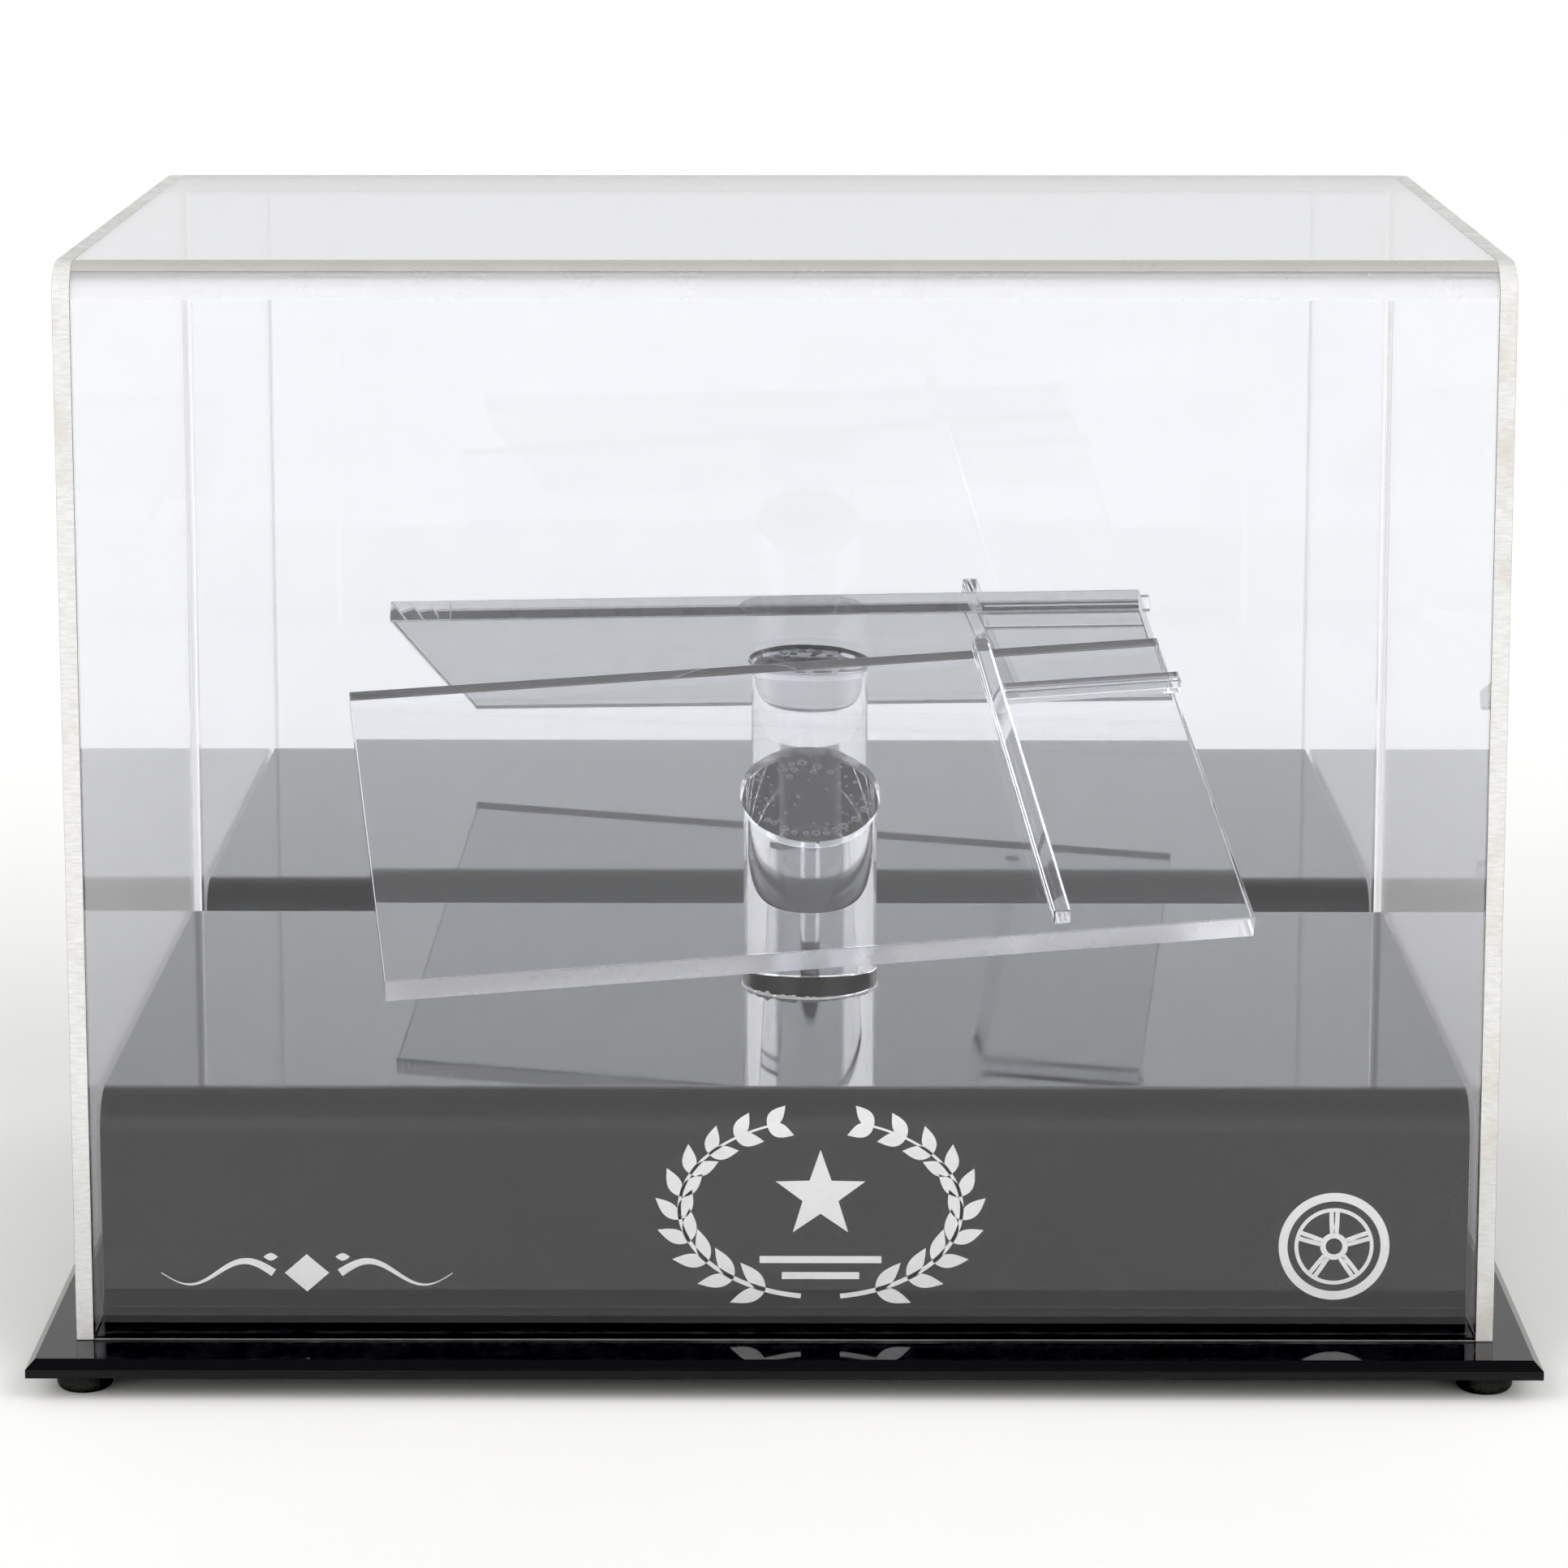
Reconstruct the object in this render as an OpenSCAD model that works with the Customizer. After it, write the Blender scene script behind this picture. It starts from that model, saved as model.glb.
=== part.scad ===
// Display case for a scale model car: a clear cover with a mirror inside its back lifts off a black base,
// where a clear rod cemented on a bent black riser holds a tilted clear platform with two wheel stops.
// Millimetres. X is the width, +Y points to the back and +Z up. The origin is under the middle of the base,
// at the height of the feet's soles.

/* [Sheet] */
// Thickness of every acrylic sheet but the platform
sheet_t = 3.175; // [3:0.05:3.4]

/* [Base plate] */
// Width of the base plate
plate_w = 269; // [266:0.5:290]
// Depth of the base plate
plate_d = 195; // [190:0.5:215]
// Size of the 45 degree bevel round its upper edge
plate_bevel = 1.6; // [0.5:0.1:2]

/* [Feet] */
// Diameter of a rubber foot
foot_d = 10; // [8:0.5:12]
// Height of a rubber foot
foot_h = 4.5; // [3:0.5:6]
// Radius round the foot's lower edge
foot_round = 1.4; // [0.5:0.1:2]
// From the plate's edges to a foot's side
foot_inset = 4.3; // [3:0.1:12]

/* [Cover] */
// Outer width of the cover
cover_w = 254; // [252:0.5:256]
// Outer depth of the cover
cover_d = 171.45; // [170:0.05:180]
// Outer height of the cover
cover_h = 194; // [185:1:220]
// Outer radius of the bends between the front, the top and the back
cover_bend = 6.35; // [5:0.05:8]

/* [Mirror] */
// Thickness of the mirror sheet
mirror_t = 2; // [1.5:0.1:2.5]
// Gap between the mirror and each side panel
mirror_side_gap = 0.8; // [0.4:0.1:1.5]
// Gap under the mirror
mirror_foot_gap = 0.5; // [0.3:0.1:2]
// Thickness of the tape behind the mirror
tape_t = 0.2; // [0.15:0.05:0.4]
// Width of a strip of that tape
tape_w = 19; // [12:1:25]

/* [Riser] */
// Width of the riser
riser_w = 246.6; // [244:0.1:246.8]
// Depth of the riser
riser_d = 148.2; // [145:0.1:149]
// Height of the riser's top above the plate
riser_h = 42.7; // [38:0.1:48]
// Outer radius of its two bends
riser_bend = 7.6; // [6:0.1:9]
// From the cover's outer front face to the riser's front
riser_setback = 10.35; // [9:0.05:11]

/* [Post] */
// Diameter of the clear rod
post_d = 26; // [22:0.5:30]
// Position of the rod's axis, across and back from the middle
post_at = [4.6, 6.75];
// Thickness of the cement at both ends of the rod
cement_t = 0.15; // [0.1:0.05:0.3]

/* [Platform] */
// Length of the platform
platform_l = 163.6; // [150:0.1:170]
// Width of the platform
platform_w = 92; // [85:0.25:98]
// Thickness of the platform
platform_t = 4.5; // [3:0.1:5]
// Middle of the platform's upper face
platform_mid = [0.7, 0.6, 87.95];
// Tilt towards the front, rise to the right and turn seen from above, in degrees
platform_turn = [24.6, -2.4, 8.1];
// From the platform's middle to the long wheel stop, along its length
stop_x = 43.7; // [35:0.1:55]
// Length of the long wheel stop
stop_l = 89; // [80:0.1:91]
// From the platform's back edge to the short rail
rail_back = 16.3; // [12:0.1:25]
// How far the short rail runs past the platform's right edge
rail_over = 0.8; // [0:0.1:2]

/* [Hidden] */
$fn = 96;
eps = 0.01;
far = 400;
plate_z = foot_h;
floor_z = plate_z + sheet_t;
riser_top_z = floor_z + riser_h;
riser_front_y = -cover_d / 2 + riser_setback;
wrap_w = cover_w - 2 * sheet_t;
mirror_w = wrap_w - 2 * mirror_side_gap;
mirror_h = cover_h - cover_bend - mirror_foot_gap;
mirror_back_y = cover_d / 2 - sheet_t - tape_t;
foot_x = plate_w / 2 - foot_inset - foot_d / 2;
foot_y = plate_d / 2 - foot_inset - foot_d / 2;

module acrylic_clear() {
    color([0.9, 0.93, 0.97, 0.3]) children();
}

module acrylic_black() {
    color([0.05, 0.05, 0.055]) children();
}

// Places children in the platform's own frame: the origin is the middle of its upper face.
module on_platform() {
    translate(platform_mid) rotate(platform_turn) children();
}

// Outline of a sheet's outside in depth and height, with both upper corners rounded.
module arch_2d(depth, height, radius) {
    square([depth, height - radius]);
    translate([radius, 0]) square([depth - 2 * radius, height]);
    for (y = [radius, depth - radius]) translate([y, height - radius]) circle(r = radius);
}

// A sheet bent over front, top and back. It runs along X, starts at y = 0 and stands on z = 0.
module bent_sheet(width, depth, height, radius) {
    translate([-width / 2, 0, 0]) rotate([90, 0, 90]) linear_extrude(width) difference() {
        arch_2d(depth, height, radius);
        translate([sheet_t, -eps])
            arch_2d(depth - 2 * sheet_t, height - sheet_t + eps, radius - sheet_t);
    }
}

module base_plate() {
    acrylic_black() translate([0, 0, plate_z]) difference() {
        translate([-plate_w / 2, -plate_d / 2, 0]) cube([plate_w, plate_d, sheet_t]);
        for (side = [-1, 1]) {
            translate([side * plate_w / 2, 0, sheet_t]) rotate([0, 45, 0])
                cube([sqrt(2) * plate_bevel, far, sqrt(2) * plate_bevel], center = true);
            translate([0, side * plate_d / 2, sheet_t]) rotate([45, 0, 0])
                cube([far, sqrt(2) * plate_bevel, sqrt(2) * plate_bevel], center = true);
        }
    }
}

module foot(side_x, side_y) {
    color([0.03, 0.03, 0.03]) translate([side_x * foot_x, side_y * foot_y, 0]) rotate_extrude() {
        square([foot_d / 2 - foot_round, foot_h]);
        translate([0, foot_round]) square([foot_d / 2, foot_h - foot_round]);
        translate([foot_d / 2 - foot_round, foot_round]) circle(r = foot_round);
    }
}

module riser() {
    acrylic_black() translate([0, riser_front_y, floor_z])
        bent_sheet(riser_w, riser_d, riser_h, riser_bend);
}

module post_cement() {
    acrylic_clear() translate([post_at[0], post_at[1], riser_top_z]) cylinder(d = post_d, h = cement_t);
}

module post() {
    acrylic_clear() difference() {
        translate([post_at[0], post_at[1], riser_top_z + cement_t]) cylinder(d = post_d, h = 70);
        on_platform() translate([-100, -100, -platform_t - cement_t]) cube([200, 200, 200]);
    }
}

module platform_cement() {
    acrylic_clear() intersection() {
        translate([post_at[0], post_at[1], riser_top_z]) cylinder(d = post_d, h = 70);
        on_platform() translate([-100, -100, -platform_t - cement_t]) cube([200, 200, cement_t]);
    }
}

module platform() {
    acrylic_clear() on_platform() translate([-platform_l / 2, -platform_w / 2, -platform_t])
        cube([platform_l, platform_w, platform_t]);
}

module wheel_stop_bar() {
    acrylic_clear() on_platform() translate([stop_x, platform_w / 2 - 0.5 - stop_l, 0])
        cube([sheet_t, stop_l, sheet_t]);
}

module wheel_stop_rail() {
    rail_x = stop_x + sheet_t;
    acrylic_clear() on_platform() translate([rail_x, platform_w / 2 - rail_back - sheet_t, 0])
        cube([platform_l / 2 + rail_over - rail_x, sheet_t, sheet_t]);
}

module cover_wrap() {
    acrylic_clear() translate([0, -cover_d / 2, floor_z])
        bent_sheet(wrap_w, cover_d, cover_h, cover_bend);
}

module cover_side(side) {
    middle_x = side * (cover_w - sheet_t) / 2;
    acrylic_clear() translate([middle_x - sheet_t / 2, -cover_d / 2, floor_z])
        rotate([90, 0, 90]) linear_extrude(sheet_t) arch_2d(cover_d, cover_h, cover_bend);
}

module mirror_panel() {
    color([0.8, 0.82, 0.85])
        translate([-mirror_w / 2, mirror_back_y - mirror_t, floor_z + mirror_foot_gap])
            cube([mirror_w, mirror_t, mirror_h]);
}

// Two upright strips between the mirror and the back wall.
module mirror_tape() {
    strip_h = mirror_h - 20;
    for (side = [-1, 1])
        color([0.9, 0.9, 0.88])
            translate([side * wrap_w / 4 - tape_w / 2, mirror_back_y, floor_z + mirror_foot_gap + 10])
                cube([tape_w, tape_t, strip_h]);
}

base_plate();
foot(-1, -1);  // foot_front_left
foot(1, -1);  // foot_front_right
foot(-1, 1);  // foot_back_left
foot(1, 1);  // foot_back_right
riser();
post_cement();
post();
platform_cement();
platform();
wheel_stop_bar();
wheel_stop_rail();
cover_wrap();
cover_side(-1);  // cover_side_left
cover_side(1);  // cover_side_right
mirror_panel();
mirror_tape();
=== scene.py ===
"""Looks of a display case for a scale model car: a clear cover with a mirror in its back, on a black base.

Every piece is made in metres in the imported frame: X is the width, +Y points to the back and +Z up.
"""
import math
import random

import bmesh
import bpy
from mathutils import Matrix, Vector


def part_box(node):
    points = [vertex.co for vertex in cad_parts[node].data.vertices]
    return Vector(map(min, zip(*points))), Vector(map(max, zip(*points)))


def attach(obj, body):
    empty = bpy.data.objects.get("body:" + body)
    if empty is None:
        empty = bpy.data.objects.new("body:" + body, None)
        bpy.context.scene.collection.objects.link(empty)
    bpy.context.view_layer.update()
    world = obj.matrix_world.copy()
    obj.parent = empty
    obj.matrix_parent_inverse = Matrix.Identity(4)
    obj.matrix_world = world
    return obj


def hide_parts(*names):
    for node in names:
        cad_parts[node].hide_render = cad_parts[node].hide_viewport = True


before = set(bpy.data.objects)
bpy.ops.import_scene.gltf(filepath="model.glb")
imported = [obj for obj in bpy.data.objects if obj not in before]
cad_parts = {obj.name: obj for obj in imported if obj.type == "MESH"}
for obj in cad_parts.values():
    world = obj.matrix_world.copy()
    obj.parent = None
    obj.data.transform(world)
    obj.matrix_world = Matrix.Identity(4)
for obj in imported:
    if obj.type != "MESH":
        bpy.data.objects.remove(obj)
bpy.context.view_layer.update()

# ---------------------------------------------------------------- driving values

MM = 0.001
LAP = 0.02 * MM  # how far a piece reaches into the one it is cemented to, and the gap beside the tape
EDGE = 0.25 * MM  # softening of a polished edge
FOOT_STEP = 0.4 * MM  # chamfer along the feet of a bent sheet
COVER_BEND = 6.35 * MM  # outer radius of the cover's bends, as in the CAD
RISER_BEND = 7.6 * MM  # outer radius of the riser's bends, as in the CAD
TAPE_W = 19 * MM  # width of a strip of tape, as in the CAD
BEND_STEPS = 20  # faces along a bend
GREY_BAND_FRONT, GREY_BAND_BACK = 9, 2  # how many of them next to the cover's flat top get the clouded sheet, whose grey tone is painted light
ACRYLIC_IOR = 1.491

SIDE_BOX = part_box("cover_side_left")
SHEET = SIDE_BOX[1].x - SIDE_BOX[0].x
FRONT_LIGHT, BACK_LIGHT, TOP_SHARE = 1.25, 0.78, 0.62
LAMPS = ((-50, 41), (50, 41))  # each lamp's turn from the front and its height, in degrees
LAMP_LIGHT, LAMP_SIZE = 2.95, 20
PANEL_LIGHT = 1.65  # added by the tall light panels at both sides of the front
BLACK_LEVEL = 0.027  # the display's, which deepens the darks


# ---------------------------------------------------------------- material helpers

def new_material(name):
    """A node material with only an output and a Principled shader: (material, tree, shader)."""
    mat = bpy.data.materials.new(name)
    mat.use_nodes = True
    tree = mat.node_tree
    tree.nodes.clear()
    out = tree.nodes.new("ShaderNodeOutputMaterial")
    shader = tree.nodes.new("ShaderNodeBsdfPrincipled")
    tree.links.new(shader.outputs["BSDF"], out.inputs["Surface"])
    return mat, tree, shader


def noise(tree, scale, detail=2.0, stretch=(1, 1, 1), rough=0.5):
    """Factor of a noise whose grain is about 1 / scale metres, squeezed by stretch along each axis."""
    coords = tree.nodes.new("ShaderNodeTexCoord")
    mapping = tree.nodes.new("ShaderNodeMapping")
    mapping.inputs["Scale"].default_value = stretch
    texture = tree.nodes.new("ShaderNodeTexNoise")
    texture.inputs["Scale"].default_value = scale
    texture.inputs["Detail"].default_value = detail
    texture.inputs["Roughness"].default_value = rough
    tree.links.new(coords.outputs["Object"], mapping.inputs["Vector"])
    tree.links.new(mapping.outputs["Vector"], texture.inputs["Vector"])
    return texture.outputs["Fac"]


def remap(tree, value, low, high, to_low, to_high):
    """value from low..high mapped to to_low..to_high, held at the ends."""
    node = tree.nodes.new("ShaderNodeMapRange")
    node.inputs["From Min"].default_value = low
    node.inputs["From Max"].default_value = high
    node.inputs["To Min"].default_value = to_low
    node.inputs["To Max"].default_value = to_high
    tree.links.new(value, node.inputs["Value"])
    return node.outputs["Result"]


def mix_colour(tree, factor, first, second):
    """first where factor is 0 and second where it is 1."""
    node = tree.nodes.new("ShaderNodeMix")
    node.data_type = "RGBA"
    node.inputs["A"].default_value = (*first, 1)
    node.inputs["B"].default_value = (*second, 1)
    tree.links.new(factor, node.inputs["Factor"])
    return node.outputs["Result"]


def combine(tree, operation, first, second):
    """Result of a maths operation on two values."""
    node = tree.nodes.new("ShaderNodeMath")
    node.operation = operation
    tree.links.new(first, node.inputs[0])
    tree.links.new(second, node.inputs[1])
    return node.outputs["Value"]


def bump(tree, shader, height, depth):
    """Bends the shader's normal by height, where 1 stands for depth metres."""
    node = tree.nodes.new("ShaderNodeBump")
    node.inputs["Distance"].default_value = depth
    tree.links.new(height, node.inputs["Height"])
    tree.links.new(node.outputs["Normal"], shader.inputs["Normal"])


# ---------------------------------------------------------------- materials

def specks(tree, spacing, size, share):
    """1 on round specks of that radius in metres, in some cells of that spacing: a larger share has more."""
    coords = tree.nodes.new("ShaderNodeTexCoord")
    cells = tree.nodes.new("ShaderNodeTexVoronoi")
    cells.inputs["Scale"].default_value = 1 / spacing
    tree.links.new(coords.outputs["Object"], cells.inputs["Vector"])
    near = remap(tree, cells.outputs["Distance"], size / spacing, size / spacing * 0.6, 0, 1)
    chosen = remap(tree, cells.outputs["Color"], 1 - share, 1 - share + 0.01, 0, 1)
    return combine(tree, "MULTIPLY", near, chosen)


def clear_acrylic(name, haze):
    """Cast acrylic: faintly lavender, with smudges that blur it up to that roughness."""
    mat, tree, shader = new_material(name)
    smudge = noise(tree, 60, 4)
    tree.links.new(mix_colour(tree, smudge, (0.975, 0.978, 0.995), (0.985, 0.987, 1.0)),
                   shader.inputs["Base Color"])
    tree.links.new(remap(tree, smudge, 0.4, 0.75, haze * 0.4, haze), shader.inputs["Roughness"])
    shader.inputs["IOR"].default_value = ACRYLIC_IOR
    shader.inputs["Transmission Weight"].default_value = 1
    return mat


def sawn_acrylic():
    """The milky cut edge of a sheet, with fine saw marks across it and some dirt in them."""
    mat, tree, shader = new_material("sawn_acrylic")
    marks = noise(tree, 350, 4, (1, 1, 6), 0.7)
    dirt = noise(tree, 60, 5, (1, 1, 1), 0.7)
    milk = mix_colour(tree, remap(tree, marks, 0.38, 0.62, 0, 1), (0.62, 0.62, 0.615), (0.83, 0.825, 0.82))
    stained = tree.nodes.new("ShaderNodeMix")
    stained.data_type = "RGBA"
    stained.inputs["B"].default_value = (0.56, 0.53, 0.46, 1)
    tree.links.new(milk, stained.inputs["A"])
    tree.links.new(remap(tree, dirt, 0.52, 0.7, 0, 0.8), stained.inputs["Factor"])
    tree.links.new(stained.outputs["Result"], shader.inputs["Base Color"])
    tree.links.new(remap(tree, marks, 0.3, 0.7, 0.5, 0.25), shader.inputs["Roughness"])
    tree.links.new(remap(tree, marks, 0.3, 0.7, 0.3, 0.5), shader.inputs["Transmission Weight"])
    shader.inputs["IOR"].default_value = ACRYLIC_IOR
    bump(tree, shader, marks, 0.04 * MM)
    return mat


def milky_acrylic(name, light, clear):
    """Acrylic clouded by heat or trapped air: that share of it stays clear."""
    mat, tree, shader = new_material(name)
    cloud = noise(tree, 90, 3)
    dark = tuple(0.96 * part for part in light)
    clouding = remap(tree, cloud, 0.3, 0.7, 0, 1)
    tree.links.new(mix_colour(tree, clouding, dark, light), shader.inputs["Base Color"])
    tree.links.new(remap(tree, cloud, 0.3, 0.7, 0.22, 0.35), shader.inputs["Roughness"])
    shader.inputs["Transmission Weight"].default_value = clear
    shader.inputs["IOR"].default_value = ACRYLIC_IOR
    return mat


def black_acrylic():
    """Glossy black sheet with faint haze and a few specks of dust."""
    mat, tree, shader = new_material("black_acrylic")
    haze = noise(tree, 40, 5)
    dust = specks(tree, 4.5 * MM, 0.13 * MM, 0.3)
    body = mix_colour(tree, haze, (0.0015, 0.0015, 0.002), (0.003, 0.003, 0.0035))
    dusty = tree.nodes.new("ShaderNodeMix")
    dusty.data_type = "RGBA"
    dusty.inputs["B"].default_value = (0.35, 0.35, 0.34, 1)
    tree.links.new(body, dusty.inputs["A"])
    tree.links.new(dust, dusty.inputs["Factor"])
    tree.links.new(dusty.outputs["Result"], shader.inputs["Base Color"])
    tree.links.new(remap(tree, haze, 0.4, 0.8, 0.02, 0.06), shader.inputs["Roughness"])
    shader.inputs["IOR"].default_value = ACRYLIC_IOR
    return mat


def plain(name, dark, light, grain_size, rough, specular=0.5, depth=0.0):
    """An even material whose colour varies from dark to light over grains of that size in metres."""
    mat, tree, shader = new_material(name)
    grain = noise(tree, 1 / grain_size, 4)
    spread = remap(tree, grain, 0.3, 0.7, 0, 1)
    tree.links.new(mix_colour(tree, spread, dark, light), shader.inputs["Base Color"])
    tree.links.new(remap(tree, grain, 0.3, 0.7, rough * 0.85, rough * 1.15), shader.inputs["Roughness"])
    shader.inputs["Specular IOR Level"].default_value = specular
    if depth:
        bump(tree, shader, grain, depth)
    return mat


def silver():
    """The mirror's bright metal layer, with a very faint haze."""
    mat, tree, shader = new_material("silver")
    haze = noise(tree, 30, 3)
    tree.links.new(mix_colour(tree, haze, (0.9, 0.91, 0.92), (0.93, 0.94, 0.95)), shader.inputs["Base Color"])
    tree.links.new(remap(tree, haze, 0.5, 0.8, 0.0, 0.012), shader.inputs["Roughness"])
    shader.inputs["Metallic"].default_value = 1
    return mat


# ---------------------------------------------------------------- mesh helpers

def add_piece(name, verts, faces, face_materials, materials, body, nodes=(), slot=None, edge=EDGE):
    """A piece from plain lists. face_materials gives each face's index in materials."""
    mesh = bpy.data.meshes.new(name)
    mesh.from_pydata(verts, [], faces)
    for mat in materials:
        mesh.materials.append(mat)
    for polygon, index in zip(mesh.polygons, face_materials):
        polygon.material_index = index
        polygon.use_smooth = True
    mesh.set_sharp_from_angle(angle=math.radians(40))
    piece = bpy.data.objects.new(name, mesh)
    bpy.context.scene.collection.objects.link(piece)
    if edge:
        bevel = piece.modifiers.new("soft_edges", "BEVEL")
        bevel.width = edge
        bevel.segments = 2
        bevel.limit_method = "ANGLE"
        bevel.angle_limit = math.radians(50)
        bevel.material = -1
    weighted = piece.modifiers.new("flat_faces", "WEIGHTED_NORMAL")
    weighted.keep_sharp = not edge
    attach(piece, body)
    if nodes:
        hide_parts(*nodes)
    return piece


def arch(y0, y1, z0, z1, radius, chamfer=0.0):
    """Outline from the front foot over the top to the back foot, with both upper corners rounded."""
    points = [(y0 + chamfer, z0), (y0, z0 + FOOT_STEP)]
    for centre_y, start in ((y0 + radius, 180), (y1 - radius, 90)):
        for step in range(BEND_STEPS + 1):
            angle = math.radians(start - 90 * step / BEND_STEPS)
            points.append((centre_y + radius * math.cos(angle), z1 - radius + radius * math.sin(angle)))
    points += [(y1, z0 + FOOT_STEP), (y1 - chamfer, z0)]
    return points


def bent_sheet(x0, x1, y0, y1, z0, z1, radius):
    """A sheet bent over front, top and back: (verts, faces, face materials).

    Material 1 is for the sawn feet and their chamfers, 2 for the outside of the bends next to the flat top,
    clouded and with painted light in its grey tone, and 3 for the rest of the bends and the ends of the sheet
    there."""
    outer = arch(y0, y1, z0, z1, radius, FOOT_STEP)
    inner = arch(y0 + SHEET, y1 - SHEET, z0, z1 - SHEET, radius - SHEET)
    count = len(outer)
    flat_top = BEND_STEPS + 2
    verts = [(x, y, z) for x in (x0, x1) for line in (outer, inner) for y, z in line]
    out0, in0, out1, in1 = (i * count for i in range(4))
    faces, kinds = [], []
    for i in range(count - 1):
        j = i + 1
        faces += [
            (out0 + i, out1 + i, out1 + j, out0 + j),
            (in0 + i, in0 + j, in1 + j, in1 + i),
            (out0 + i, out0 + j, in0 + j, in0 + i),
            (out1 + i, in1 + i, in1 + j, out1 + j),
        ]
        if i in (0, count - 2):
            kinds += [1, 0, 0, 0]
        elif (i - 1) % (BEND_STEPS + 1) == 0:
            kinds += [0, 0, 0, 0]
        elif flat_top - GREY_BAND_FRONT <= i <= flat_top + GREY_BAND_BACK:
            kinds += [2, 3, 3, 3]
        else:
            kinds += [3, 3, 3, 3]
    last = count - 1
    faces += [(out0, in0, in1, out1), (out0 + last, out1 + last, in1 + last, in0 + last)]
    kinds += [1, 1]
    return verts, faces, kinds


def arch_panel(x0, x1, y0, y1, z0, z1, radius):
    """A flat panel with the arch's outline, and material 1 round its edge: (verts, faces, face materials)."""
    outline = arch(y0, y1, z0, z1, radius)
    count = len(outline)
    verts = [(x, y, z) for x in (x0, x1) for y, z in outline]
    faces = [tuple(range(count)), tuple(range(2 * count - 1, count - 1, -1))]
    kinds = [0, 0]
    for i in range(count):
        j = (i + 1) % count
        faces.append((i, i + count, j + count, j))
        kinds.append(1)
    return verts, faces, kinds


def slab(matrix, lo, hi, edge_material=1):
    """A box in a frame of its own: (verts, faces, face materials).

    edge_material is for all of its faces but the lower and the upper one."""
    verts = [matrix @ Vector((x, y, z))
             for z in (lo[2], hi[2]) for y in (lo[1], hi[1]) for x in (lo[0], hi[0])]
    faces = [(0, 2, 3, 1), (4, 5, 7, 6), (0, 1, 5, 4), (2, 6, 7, 3), (0, 4, 6, 2), (1, 3, 7, 5)]
    return verts, faces, [0, 0] + [edge_material] * 4


def node_frame(name):
    """Own frame of a box-shaped CAD node: its upper face's middle, with X along its length, and its size."""
    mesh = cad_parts[name].data
    corners = []
    for v in mesh.vertices:
        if all((v.co - c).length > 0.01 * MM for c in corners):
            corners.append(v.co.copy())
    first = corners[0]
    edges = sorted((c - first for c in corners[1:]), key=lambda e: e.length)
    thick = edges[0]
    wide = next(e for e in edges if abs(e.dot(thick)) < 1e-9 and e is not thick)
    long = next(e for e in edges if abs(e.dot(thick)) < 1e-8 and abs(e.dot(wide)) < 1e-8)
    size = Vector((long.length, wide.length, thick.length))
    up = thick.normalized() * (1 if thick.z > 0 else -1)
    along = long.normalized() * (1 if long.x > 0 else -1)
    across = up.cross(along)
    middle = sum(corners, Vector()) / len(corners) + up * size.z / 2
    matrix = Matrix((along, across, up)).transposed().to_4x4()
    matrix.translation = middle
    return matrix, size


# ---------------------------------------------------------------- pieces

CLEAR = clear_acrylic("clear_acrylic", 0.012)
BENT = milky_acrylic("bent_acrylic", (0.95, 0.95, 0.97), 0.85)
# clouded band on the bends by the top: its clouding is real, while its grey-beige tone is painted light that
# stands in for the light the band carries through the sheet
CLOUDED_AND_PAINTED_LIGHT = milky_acrylic("clouded_acrylic_painted_light", (0.56, 0.55, 0.52), 0.35)
FROTH = milky_acrylic("frothy_cement", (0.97, 0.97, 0.97), 0.2)
FRONT_EDGE = milky_acrylic("hazy_edge", (0.93, 0.93, 0.96), 0.6)
SAWN = sawn_acrylic()
BLACK = black_acrylic()
SILVER = silver()
PAINT = plain("mirror_paint", (0.2, 0.21, 0.22), (0.28, 0.29, 0.3), 3 * MM, 0.6)
CEMENT_BLACK = plain("cement_on_black", (0.003, 0.003, 0.004), (0.012, 0.012, 0.014), 1.5 * MM, 0.7, 0)
# painted reflection: the white on the air gaps under the rod stands in for the light that the air there
# reflects
AIR_GAP_PAINTED_GLINT = plain("painted_glint_in_cement_gaps", (0.5, 0.5, 0.5), (0.95, 0.95, 0.95), 0.5 * MM, 0.6, 0.3)
INK = plain("white_ink", (0.93, 0.93, 0.93), (0.97, 0.97, 0.97), 0.6 * MM, 0.45, 0.5, 0.01 * MM)
RUBBER = plain("foot_rubber", (0.01, 0.01, 0.01), (0.03, 0.03, 0.03), 0.4 * MM, 0.65, 0.4, 0.04 * MM)
TAPE = plain("tape", (0.6, 0.6, 0.57), (0.75, 0.75, 0.72), 1.2 * MM, 0.7)


def cover():
    """The bent sheet over front, top and back, and the two side panels on its ends."""
    lo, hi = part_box("cover_wrap")
    shape = bent_sheet(lo.x - LAP, hi.x + LAP, lo.y, hi.y, lo.z, hi.z, COVER_BEND)
    add_piece("cover_front_top_back", *shape, [CLEAR, SAWN, CLOUDED_AND_PAINTED_LIGHT, BENT], "cover", ["cover_wrap"],
              "clear_acrylic", 0)
    for side in ("left", "right"):
        lo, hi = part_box("cover_side_" + side)
        shape = arch_panel(lo.x, hi.x, lo.y, hi.y, lo.z, hi.z, COVER_BEND)
        add_piece("cover_panel_" + side, *shape, [CLEAR, SAWN], "cover", ["cover_side_" + side],
                  "clear_acrylic")


def mirror():
    """The mirror's clear sheet, and the silvering and paint on its back."""
    lo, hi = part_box("mirror_panel")
    silvering = 0.12 * MM
    verts, faces, _ = slab(Matrix(), lo, (hi.x, hi.y - silvering + LAP, hi.z))
    add_piece("mirror_sheet", verts, faces, [0] * 6, [CLEAR], "cover", ["mirror_panel"], "mirror")
    verts, faces, _ = slab(Matrix(), (lo.x, hi.y - silvering, lo.z), hi)
    add_piece("mirror_silvering", verts, faces, [1, 1, 0, 1, 1, 1], [SILVER, PAINT], "cover", (), "mirror", 0)


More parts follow.
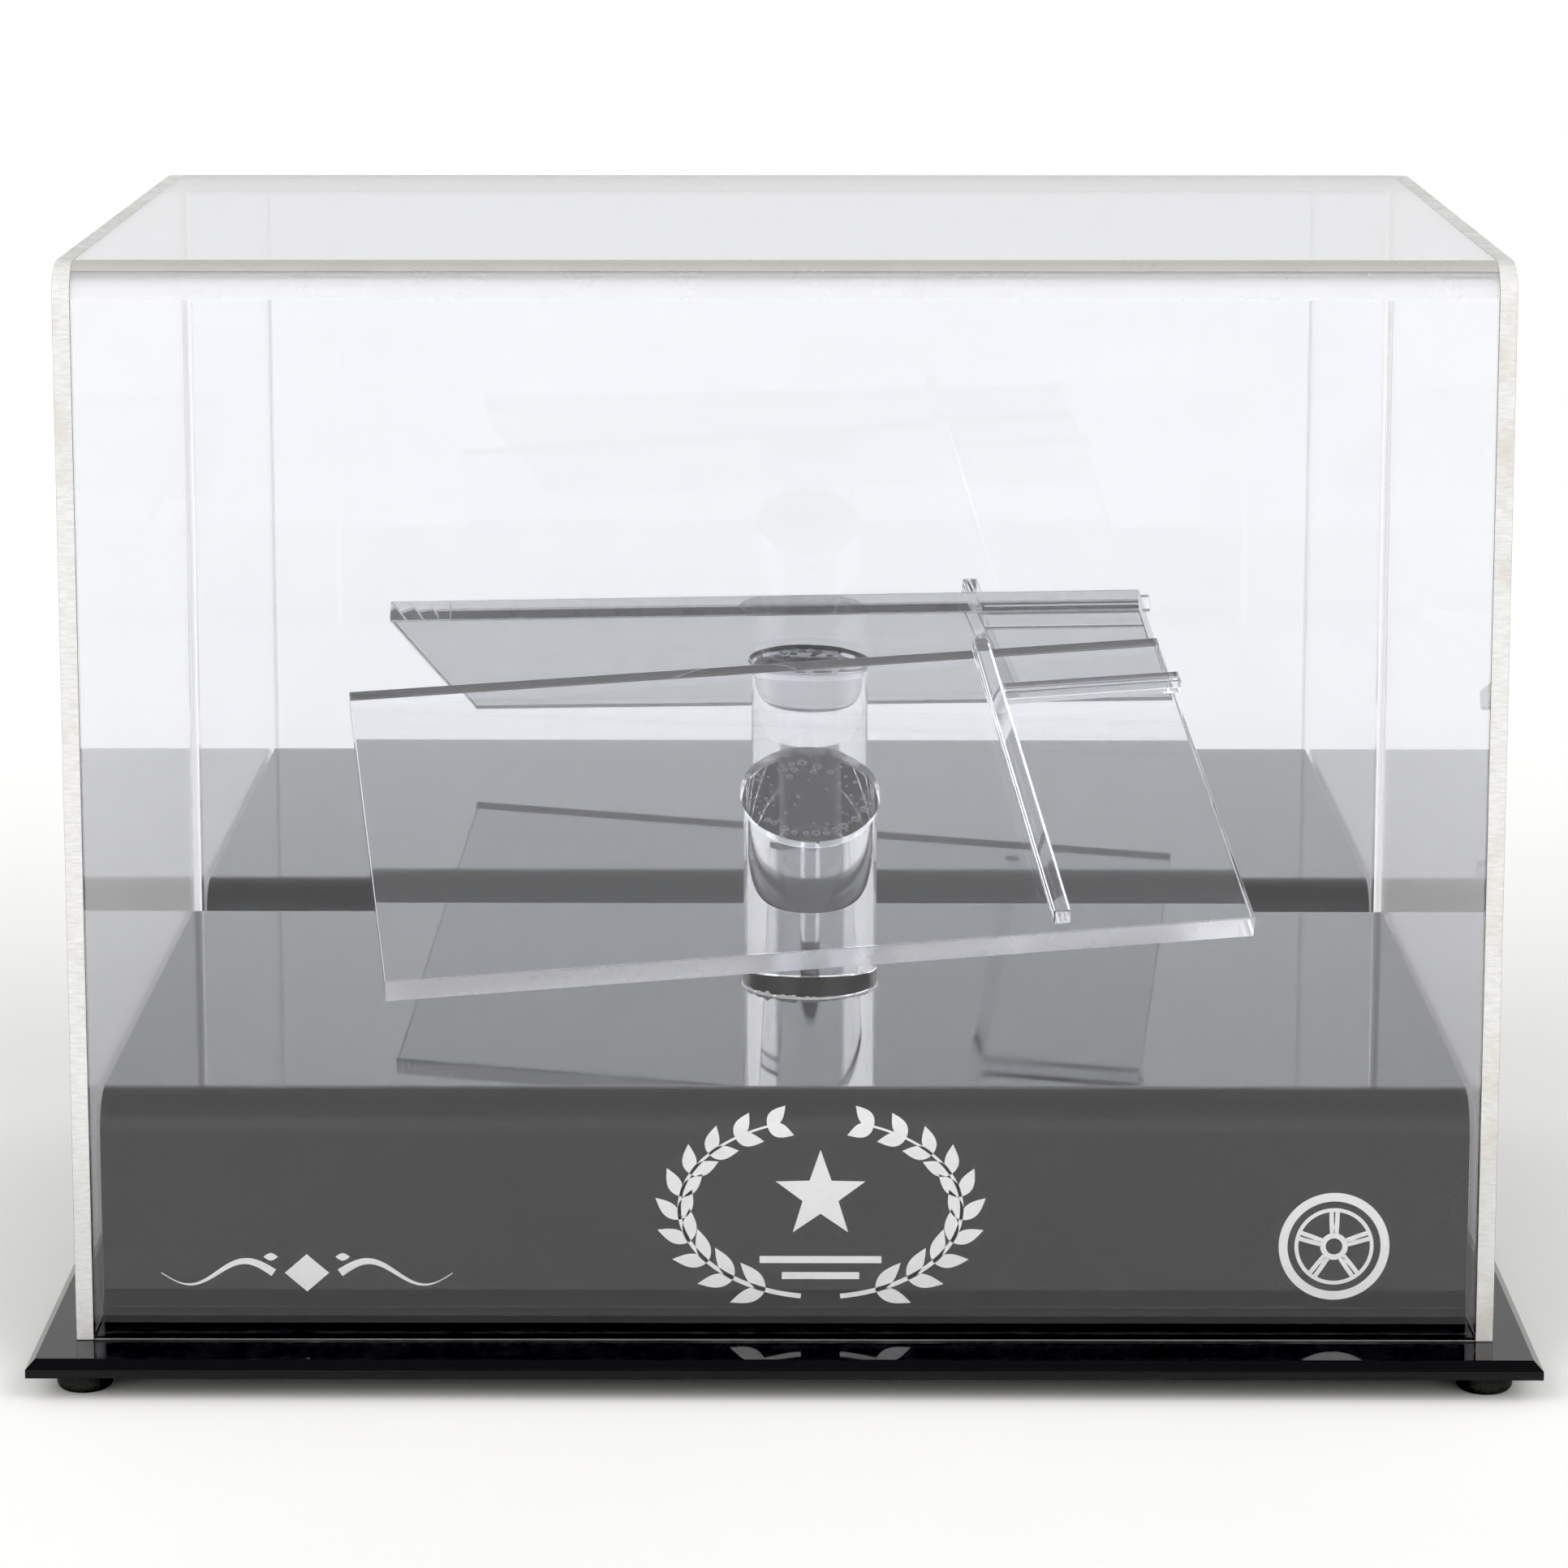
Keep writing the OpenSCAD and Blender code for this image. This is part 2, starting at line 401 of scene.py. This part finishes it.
def tape():
    """Two upright strips behind the mirror, just short of it and of the back wall."""
    lo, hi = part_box("mirror_tape")
    verts, faces, kinds = [], [], []
    for x0, x1 in ((lo.x, lo.x + TAPE_W), (hi.x - TAPE_W, hi.x)):
        strip = slab(Matrix(), (x0, lo.y + LAP, lo.z), (x1, hi.y - LAP, hi.z), 0)
        faces += [tuple(i + len(verts) for i in face) for face in strip[1]]
        verts += strip[0]
        kinds += strip[2]
    add_piece("mirror_tape_strips", verts, faces, kinds, [TAPE], "cover", ["mirror_tape"], "tape", 0)


def riser():
    """The black sheet bent down at the front and the back, all in one material."""
    lo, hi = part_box("riser")
    verts, faces, _ = bent_sheet(lo.x, hi.x, lo.y, hi.y, lo.z, hi.z, RISER_BEND)
    add_piece("riser_sheet", verts, faces, [0] * len(faces), [BLACK], "base", ["riser"], "black_acrylic")


POST_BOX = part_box("post")
POST_RADIUS = (POST_BOX[1].x - POST_BOX[0].x) / 2
POST_AXIS = Vector((POST_BOX[0].x + POST_RADIUS, POST_BOX[0].y + POST_RADIUS, 0))
PLATFORM, PLATFORM_SIZE = node_frame("platform")
CEMENT_T = POST_BOX[0].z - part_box("post_cement")[0].z
ROUND = 180  # points round the rod
BUBBLE_COUNT, BUBBLE_SEED = 70, 11
BACK_BUBBLES, LARGE_BUBBLES = 8, 20  # the first lie at the back, the other large ones along the front


def ring_on_plane(radius, depth):
    """A ring of points round the rod's axis, depth metres under the platform's upper face."""
    up = PLATFORM.to_3x3() @ Vector((0, 0, 1))
    point = PLATFORM @ Vector((0, 0, -depth))
    ring = []
    for i in range(ROUND):
        angle = 2 * math.pi * i / ROUND
        grow = radius(angle) if callable(radius) else radius
        x, y = POST_AXIS.x + grow * math.cos(angle), POST_AXIS.y + grow * math.sin(angle)
        ring.append(Vector((x, y, point.z - (up.x * (x - point.x) + up.y * (y - point.y)) / up.z)))
    return ring


def flat_ring(radius, z):
    """A level ring of points round the rod's axis."""
    return [POST_AXIS + Vector((radius * math.cos(a), radius * math.sin(a), z))
            for a in (2 * math.pi * i / ROUND for i in range(ROUND))]


def lathe(rings):
    """A closed solid through rings from bottom to top: (verts, faces)."""
    verts = [point for ring in rings for point in ring]
    faces = [tuple(range(ROUND - 1, -1, -1)), tuple(range(len(verts) - ROUND, len(verts)))]
    for low in range(0, len(verts) - ROUND, ROUND):
        for i in range(ROUND):
            j = (i + 1) % ROUND
            faces.append((low + i, low + j, low + ROUND + j, low + ROUND + i))
    return verts, faces


def post():
    """The clear rod, cut off along the platform's underside."""
    rings = [flat_ring(POST_RADIUS - EDGE, POST_BOX[0].z), flat_ring(POST_RADIUS, POST_BOX[0].z + EDGE),
             ring_on_plane(POST_RADIUS, PLATFORM_SIZE.z + CEMENT_T)]
    verts, faces = lathe(rings)
    add_piece("post_rod", verts, faces, [0] * len(faces), [CLEAR], "base", ["post"], "clear_acrylic", 0)


def bubbles(count, seed):
    """Air bubbles in the cement film, crowded towards its rim: (middle in the platform's frame, radius)."""
    pick = random.Random(seed)
    into_platform = PLATFORM.inverted()
    found = []
    while len(found) < count:
        angle, share = pick.uniform(0, 2 * math.pi), pick.random() ** 0.4
        if len(found) < BACK_BUBBLES:
            angle, share = pick.gauss(1.6, 0.35), pick.uniform(0.55, 0.85)
        elif len(found) < LARGE_BUBBLES:
            angle, share = pick.gauss(-1.7, 0.4), pick.uniform(0.86, 0.92)
        spot = POST_AXIS + Vector((math.cos(angle), math.sin(angle), 0)) * share * (POST_RADIUS - 0.9 * MM)
        if len(found) >= LARGE_BUBBLES and share < 0.6 and pick.random() < 0.75:
            continue
        large = len(found) < LARGE_BUBBLES
        radius = (pick.uniform(0.6, 1.1) if large else pick.uniform(0.25, 0.5)) * MM
        up = PLATFORM.to_3x3() @ Vector((0, 0, 1))
        point = PLATFORM @ Vector((0, 0, -PLATFORM_SIZE.z - CEMENT_T / 2))
        spot.z = point.z - (up.x * (spot.x - point.x) + up.y * (spot.y - point.y)) / up.z
        local = into_platform @ spot
        if all((local - other).length > radius + size + 0.05 * MM for other, size in found):
            found.append((local, radius))
    return found


def bubble_mesh(middle, radius, half, first):
    """A lens-shaped hollow with its faces turned inwards: (verts, faces, face materials).

    Its vertices are numbered from first. The ring along its rim gets material 1."""
    around, levels = 20, (-0.8, -0.3, 0.3, 0.8)
    verts = [middle + Vector((0, 0, -half))]
    for level in levels:
        width = radius * math.sqrt(1 - level ** 2)
        verts += [middle + Vector((width * math.cos(a), width * math.sin(a), level * half))
                  for a in (2 * math.pi * i / around for i in range(around))]
    verts.append(middle + Vector((0, 0, half)))
    faces, kinds = [], []
    top = first + len(verts) - 1
    for i in range(around):
        j = (i + 1) % around
        faces.append((first, first + 1 + i, first + 1 + j))
        kinds += [0, 1, 1, 1, 0]
        for level in range(len(levels) - 1):
            low = first + 1 + level * around
            faces.append((low + j, low + i, low + around + i, low + around + j))
        high = first + 1 + (len(levels) - 1) * around
        faces.append((high + j, high + i, top))
    return [PLATFORM @ v for v in verts], faces, kinds


def platform_cement():
    """The cement film under the platform, its squeezed-out fillet round the rod and its air bubbles."""
    pick = random.Random(3)
    waves = [(pick.uniform(0.01, 0.03), pick.randrange(2, 15), pick.uniform(0, 6.28)) for _ in range(7)]

    def wavy(angle):
        return sum(size * math.sin(turns * angle + start) for size, turns, start in waves) * MM

    def rim(angle):
        back = 0.5 + 0.5 * math.sin(angle)
        return POST_RADIUS + (0.15 + 1.5 * back ** 1.6) * MM + wavy(angle)

    def waist(angle):
        return POST_RADIUS + 0.1 * MM + 0.5 * wavy(angle)

    film = PLATFORM_SIZE.z + CEMENT_T
    rings = [ring_on_plane(POST_RADIUS - LAP, film + LAP), ring_on_plane(POST_RADIUS - LAP, film + 1.1 * MM),
             ring_on_plane(waist, film + 0.4 * MM), ring_on_plane(rim, PLATFORM_SIZE.z - LAP)]
    verts, faces = lathe(rings)
    kinds = [0] * len(faces)
    for middle, radius in bubbles(BUBBLE_COUNT, BUBBLE_SEED):
        more_verts, more_faces, more_kinds = bubble_mesh(middle, radius, CEMENT_T * 0.4, len(verts))
        verts += more_verts
        faces += more_faces
        kinds += more_kinds
    add_piece("platform_cement_film", verts, faces, kinds, [CLEAR, FROTH], "base", ["platform_cement"],
              "cement", 0)


def post_cement():
    """The cement under the rod: black, except for the gaps with air near its rim and along its ragged rim,
    which are painted white as a painted reflection of the light their air mirrors. Also the bead round its
    foot.

    Each gap is its angle round the rod, its depth from the rim in steps of gap_step, and its size in mm."""
    gap_step, centre_hole = 1.6, 0.02
    frothy_at = 4.2
    lo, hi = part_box("post_cement")
    pick = random.Random(5)
    gaps = [(pick.uniform(3.75, 4.6), pick.uniform(0.55, 1.0), pick.uniform(0.2, 0.75)) for _ in range(46)]
    gaps += [(pick.uniform(4.6, 5.6), pick.uniform(0.2, 0.6), pick.uniform(0.1, 0.4)) for _ in range(24)]
    levels, turns = 44, 360
    outer = POST_RADIUS - 0.45 * MM
    bm = bmesh.new()
    grid = []
    for level in range(levels + 1):
        radius = outer * (centre_hole + (1 - centre_hole) * level / levels)
        row = []
        for i in range(turns):
            angle = 2 * math.pi * i / turns
            x, y = POST_AXIS.x + radius * math.cos(angle), POST_AXIS.y + radius * math.sin(angle)
            row.append(bm.verts.new((x, y, hi.z + LAP)))
        grid.append(row)
    bm.faces.new(grid[0])
    for level in range(levels):
        for i in range(turns):
            angle = 2 * math.pi * (i + 0.5) / turns
            radius = outer * (centre_hole + (1 - centre_hole) * (level + 0.5) / levels)
            from_rim = outer + 0.5 * MM - radius
            gap = any(math.hypot((angle - at) * outer * 0.7, from_rim - depth * gap_step * MM)
                      < size * MM * 0.6 for at, depth, size in gaps)
            ragged = from_rim < (0.75 + 0.12 * math.sin(9 * angle) + 0.12 * math.sin(31 * angle + 1)) * MM
            j = (i + 1) % turns
            face = bm.faces.new((grid[level][i], grid[level + 1][i], grid[level + 1][j], grid[level][j]))
            # the gaps and the ragged rim get material 1, a painted white reflection
            face.material_index = 1 if gap or ragged else 0
    bmesh.ops.recalc_face_normals(bm, faces=bm.faces)
    if bm.faces[0].normal.z < 0:
        bmesh.ops.reverse_faces(bm, faces=bm.faces)
    mesh = bpy.data.meshes.new("post_cement_film")
    bm.to_mesh(mesh)
    bm.free()
    mesh.materials.append(CEMENT_BLACK)
    mesh.materials.append(AIR_GAP_PAINTED_GLINT)
    piece = bpy.data.objects.new("post_cement_film", mesh)
    bpy.context.scene.collection.objects.link(piece)
    thick = piece.modifiers.new("thickness", "SOLIDIFY")
    thick.thickness = CEMENT_T
    thick.offset = -1
    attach(piece, "base")
    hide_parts("post_cement")

    verts, faces = [], []
    for i in range(turns):
        angle = 2 * math.pi * i / turns
        lumps = 0.5 + 0.5 * math.sin(23 * angle) * math.sin(7 * angle + 1)
        froth = max(0, math.cos(angle - frothy_at)) ** 3 * lumps
        rise = (0.22 + 0.08 * math.sin(41 * angle) + 0.06 * math.sin(67 * angle + 2) + 0.75 * froth) * MM
        for radius, z in ((POST_RADIUS - LAP, lo.z), (POST_RADIUS + 0.35 * MM, lo.z),
                          (POST_RADIUS + 0.15 * MM, lo.z + rise), (POST_RADIUS - LAP, lo.z + rise)):
            verts.append((POST_AXIS.x + radius * math.cos(angle), POST_AXIS.y + radius * math.sin(angle), z))
        ahead = 4 * ((i + 1) % turns)
        for k in range(4):
            faces.append((4 * i + k, ahead + k, ahead + (k + 1) % 4, 4 * i + (k + 1) % 4))
    add_piece("post_cement_bead", verts, faces, [0] * len(faces), [FROTH], "base", (), "cement", 0)


def platform():
    """The tilted sheet with its hazy front edge, and the two wheel stops on it."""
    half = PLATFORM_SIZE / 2
    shape = slab(PLATFORM, (-half.x, -half.y, -PLATFORM_SIZE.z), (half.x, half.y, 0))
    kinds = [0, 0, 1, 0, 0, 0]
    add_piece("platform_sheet", shape[0], shape[1], kinds, [CLEAR, FRONT_EDGE], "base", ["platform"],
              "clear_acrylic")
    for name in ("wheel_stop_bar", "wheel_stop_rail"):
        matrix, size = node_frame(name)
        shape = slab(matrix, (-size.x / 2, -size.y / 2, -size.z - LAP), (size.x / 2, size.y / 2, 0))
        add_piece(name + "_strip", shape[0], shape[1], [0] * 6, [CLEAR], "base", [name],
                  "clear_acrylic")


# ---------------------------------------------------------------- prints on the riser's front

INK_T = 0.03 * MM
RISER_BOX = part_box("riser")


def on_riser(x, up):
    """Point on the riser's front skin, up metres along it from its foot, following the bend."""
    straight = RISER_BOX[1].z - RISER_BOX[0].z - RISER_BEND
    if up <= straight:
        return Vector((x, RISER_BOX[0].y, RISER_BOX[0].z + up))
    turn = (up - straight) / RISER_BEND
    return Vector((x, RISER_BOX[0].y + RISER_BEND * (1 - math.cos(turn)),
                   RISER_BOX[0].z + straight + RISER_BEND * math.sin(turn)))


def add_band(bm, path, widths, across=4, closed=False):
    """A band of ink along path, a list of (x, up), with a width at each of its points."""
    rows = []
    count = len(path)
    for i, (x, up) in enumerate(path):
        before = path[i - 1] if i or closed else path[i]
        after = path[(i + 1) % count] if i + 1 < count or closed else path[i]
        dx, dy = after[0] - before[0], after[1] - before[1]
        length = math.hypot(dx, dy)
        side = (-dy / length, dx / length)
        rows.append([bm.verts.new(on_riser(x + side[0] * widths[i] * (k / across - 0.5),
                                           up + side[1] * widths[i] * (k / across - 0.5)))
                     for k in range(across + 1)])
    for i in range(count if closed else count - 1):
        low, high = rows[i], rows[(i + 1) % count]
        for k in range(across):
            bm.faces.new((low[k], high[k], high[k + 1], low[k + 1]))


def leaf(bm, root, angle, length, width):
    """A pointed leaf of ink that grows from root at that angle."""
    steps = 10
    path = [(root[0] + length * i / steps * math.cos(angle), root[1] + length * i / steps * math.sin(angle))
            for i in range(steps + 1)]
    widths = [max(width * math.sin(math.pi * (i / steps) ** 0.8), 0.02 * MM) for i in range(steps + 1)]
    add_band(bm, path, widths)


def star(bm, middle, radius):
    """A five-pointed star of ink."""
    tips = []
    for i in range(10):
        reach = radius if i % 2 == 0 else radius * 0.4
        angle = math.pi / 2 + i * math.pi / 5
        x, up = middle[0] + reach * math.cos(angle), middle[1] + reach * math.sin(angle)
        tips.append(bm.verts.new(on_riser(x, up)))
    heart = bm.verts.new(on_riser(*middle))
    for i in range(10):
        bm.faces.new((heart, tips[i], tips[(i + 1) % 10]))


def ink_piece(name, bm):
    """Turns a finished print into a piece of ink that faces the front and rides on the base."""
    bmesh.ops.recalc_face_normals(bm, faces=bm.faces)
    for face in bm.faces:
        if face.normal.y > 0.01:
            face.normal_flip()
    mesh = bpy.data.meshes.new(name)
    bm.to_mesh(mesh)
    bm.free()
    mesh.materials.append(INK)
    piece = bpy.data.objects.new(name, mesh)
    bpy.context.scene.collection.objects.link(piece)
    thick = piece.modifiers.new("thickness", "SOLIDIFY")
    thick.thickness = INK_T
    thick.offset = 1
    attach(piece, "base")


def laurel_print(middle_x, low, wide, tall):
    """Two laurel branches round a star over two plain bars."""
    bm = bmesh.new()
    reach, rise = wide / 2 - 4 * MM, tall / 2 - 2.5 * MM
    centre = (middle_x, low + tall / 2)
    for side in (-1, 1):
        stem = []
        for i in range(41):
            angle = math.radians(-82 + 150 * i / 40)
            stem.append((centre[0] + side * reach * math.cos(angle), centre[1] + rise * math.sin(angle)))
        add_band(bm, stem, [0.9 * MM - 0.5 * MM * i / 40 for i in range(41)])
        for i in range(4, 41, 4):
            (x, up), (ahead_x, ahead_up) = stem[i - 1], stem[i]
            along = math.atan2(ahead_up - up, ahead_x - x)
            for tilt in (-0.6, 0.6):
                leaf(bm, stem[i], along + tilt, (7 - 0.05 * i) * MM, 2.6 * MM)
    star(bm, (centre[0], centre[1] + 2.5 * MM), 8.5 * MM)
    for drop, half in ((9.5, 11), (12.5, 7)):
        up = centre[1] - drop * MM
        add_band(bm, [(centre[0] - half * MM, up), (centre[0] + half * MM, up)], [1.3 * MM] * 2)
    ink_piece("print_laurel", bm)


def flourish_print(left, right, middle_up):
    """A tapering line with a lozenge in its middle and smaller ones beside it."""
    bm = bmesh.new()
    middle = (left + right) / 2
    for side in (-1, 1):
        steps = 30
        end = (right - left) / 2
        path = []
        for i in range(steps + 1):
            share = i / steps
            path.append((middle + side * (6 * MM + (end - 6 * MM) * share),
                         middle_up + 2.2 * MM * math.sin(2 * math.pi * share)))
        add_band(bm, path, [max(1.5 * MM * (1 - i / steps), 0.15 * MM) for i in range(steps + 1)])
        add_band(bm, [(middle + side * (5.2 + 2.6 * k / 8) * MM, middle_up + 3 * MM) for k in range(9)],
                 [max(1.4 * MM * math.sin(math.pi * k / 8), 0.02 * MM) for k in range(9)])
    add_band(bm, [(middle + (k / 8 - 0.5) * 8 * MM, middle_up) for k in range(9)],
             [max(7 * MM * (1 - abs(k / 4 - 1)), 0.02 * MM) for k in range(9)])
    ink_piece("print_flourish", bm)


def wheel_print(middle_x, middle_up, radius):
    """A spoked wheel with its tyre."""
    bm = bmesh.new()
    for share, width in ((0.92, 0.16), (0.68, 0.07), (0.2, 0.1)):
        circle = [(middle_x + radius * share * math.cos(a), middle_up + radius * share * math.sin(a))
                  for a in (2 * math.pi * i / 72 for i in range(72))]
        add_band(bm, circle, [radius * width] * 72, closed=True)
    for i in range(5):
        angle = math.pi / 2 + 2 * math.pi * i / 5
        for lean in (-0.13, 0.13):
            path = [(middle_x + radius * r * math.cos(angle + lean * (1.3 - r)),
                     middle_up + radius * r * math.sin(angle + lean * (1.3 - r))) for r in (0.25, 0.45, 0.65)]
            add_band(bm, path, [radius * 0.09, radius * 0.08, radius * 0.08])
    ink_piece("print_wheel", bm)


def prints():
    """The three prints, in their places across the riser and up from its foot."""
    laurel_print(middle_x=6.5 * MM, low=2.8 * MM, wide=59 * MM, tall=38 * MM)
    flourish_print(left=-112.7 * MM, right=-60 * MM, middle_up=9.7 * MM)
    wheel_print(middle_x=99.2 * MM, middle_up=14.9 * MM, radius=10 * MM)


def paint_nodes():
    """Materials of the CAD nodes that stay as they are."""
    feet = [f"foot_{end}_{side}" for end in ("front", "back") for side in ("left", "right")]
    for names, mat in ((["base_plate"], BLACK), (feet, RUBBER)):
        for name in names:
            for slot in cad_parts[name].material_slots:
                slot.material = mat


# ---------------------------------------------------------------- studio

def studio():
    """The pale floor, and a world brighter in front, with two light panels and two lamps in it.

    The bare pairs are where each part of the light starts and ends, along a direction one unit long."""
    far, warm_white = 6, (1, 0.985, 0.955)
    corners = [(-far, -far, 0), (far, -far, 0), (far, far, 0), (-far, far, 0)]
    floor_mesh = bpy.data.meshes.new("studio_floor")
    floor_mesh.from_pydata(corners, [], [(0, 1, 2, 3)])
    floor = bpy.data.objects.new("studio_floor", floor_mesh)
    bpy.context.scene.collection.objects.link(floor)
    grey, lighter = (0.84, 0.84, 0.84), (0.86, 0.86, 0.86)
    floor_mesh.materials.append(plain("studio_floor", grey, lighter, 200 * MM, 0.9, 0.2))
    world = bpy.data.worlds.new("studio")
    world.use_nodes = True
    tree = world.node_tree
    direction = tree.nodes.new("ShaderNodeTexCoord")
    split = tree.nodes.new("ShaderNodeSeparateXYZ")
    tree.links.new(direction.outputs["Generated"], split.inputs["Vector"])
    sides = remap(tree, split.outputs["Y"], -0.6, 0.6, FRONT_LIGHT, BACK_LIGHT)
    top = remap(tree, split.outputs["Z"], 0.45, 0.7, 1, TOP_SHARE)
    light = combine(tree, "MULTIPLY", sides, top)
    aside = tree.nodes.new("ShaderNodeMath")
    aside.operation = "ABSOLUTE"
    tree.links.new(split.outputs["X"], aside.inputs[0])
    panels = combine(tree, "MULTIPLY", remap(tree, aside.outputs["Value"], 0.33, 0.38, 0, PANEL_LIGHT),
                     remap(tree, split.outputs["Y"], -0.45, -0.25, 1, 0))
    low = remap(tree, split.outputs["Z"], 0.5, 0.6, 1, 0)
    light = combine(tree, "ADD", light, combine(tree, "MULTIPLY", panels, low))
    for turn, height in LAMPS:
        turn, height, size = math.radians(turn), math.radians(height), math.radians(LAMP_SIZE)
        towards = (math.sin(turn) * math.cos(height), -math.cos(turn) * math.cos(height), math.sin(height))
        dot = tree.nodes.new("ShaderNodeVectorMath")
        dot.operation = "DOT_PRODUCT"
        dot.inputs[1].default_value = towards
        tree.links.new(direction.outputs["Generated"], dot.inputs[0])
        lamp = remap(tree, dot.outputs["Value"], math.cos(size), math.cos(size * 0.7), 0, LAMP_LIGHT)
        light = combine(tree, "ADD", light, lamp)
    tree.links.new(light, tree.nodes["Background"].inputs["Strength"])
    warm = remap(tree, panels, 0, PANEL_LIGHT, 0, 1)
    tree.links.new(mix_colour(tree, warm, (1, 1, 1), warm_white), tree.nodes["Background"].inputs["Color"])
    bpy.context.scene.world = world


def camera():
    """The camera that was fitted to the object's edges: it looks down a little, almost along +Y."""
    look_down, turn = 0.16782, 0.0042
    data = bpy.data.cameras.new("camera")
    data.sensor_width = 36
    data.lens = 116.8
    data.shift_y = -0.1429
    data.clip_start = 0.01
    data.clip_end = 50
    cam = bpy.data.objects.new("camera", data)
    cam.location = (0.00363, -0.96164, 0.29814)
    cam.rotation_euler = (math.pi / 2 - look_down, 0, turn)
    bpy.context.scene.collection.objects.link(cam)
    bpy.context.scene.camera = cam


def view_settings():
    """Plain display colours, and bounces enough for light to pass all the clear sheets."""
    scene = bpy.context.scene
    scene.view_settings.view_transform = "Standard"
    scene.view_settings.use_curve_mapping = True
    scene.view_settings.curve_mapping.black_level = (BLACK_LEVEL, BLACK_LEVEL, BLACK_LEVEL)
    scene.view_settings.curve_mapping.update()
    scene.cycles.max_bounces = 40
    scene.cycles.transmission_bounces = 36
    scene.cycles.glossy_bounces = 16
    scene.cycles.diffuse_bounces = 6


cover()
mirror()
tape()
riser()
post_cement()
post()
platform_cement()
platform()
prints()
paint_nodes()
studio()
camera()
view_settings()
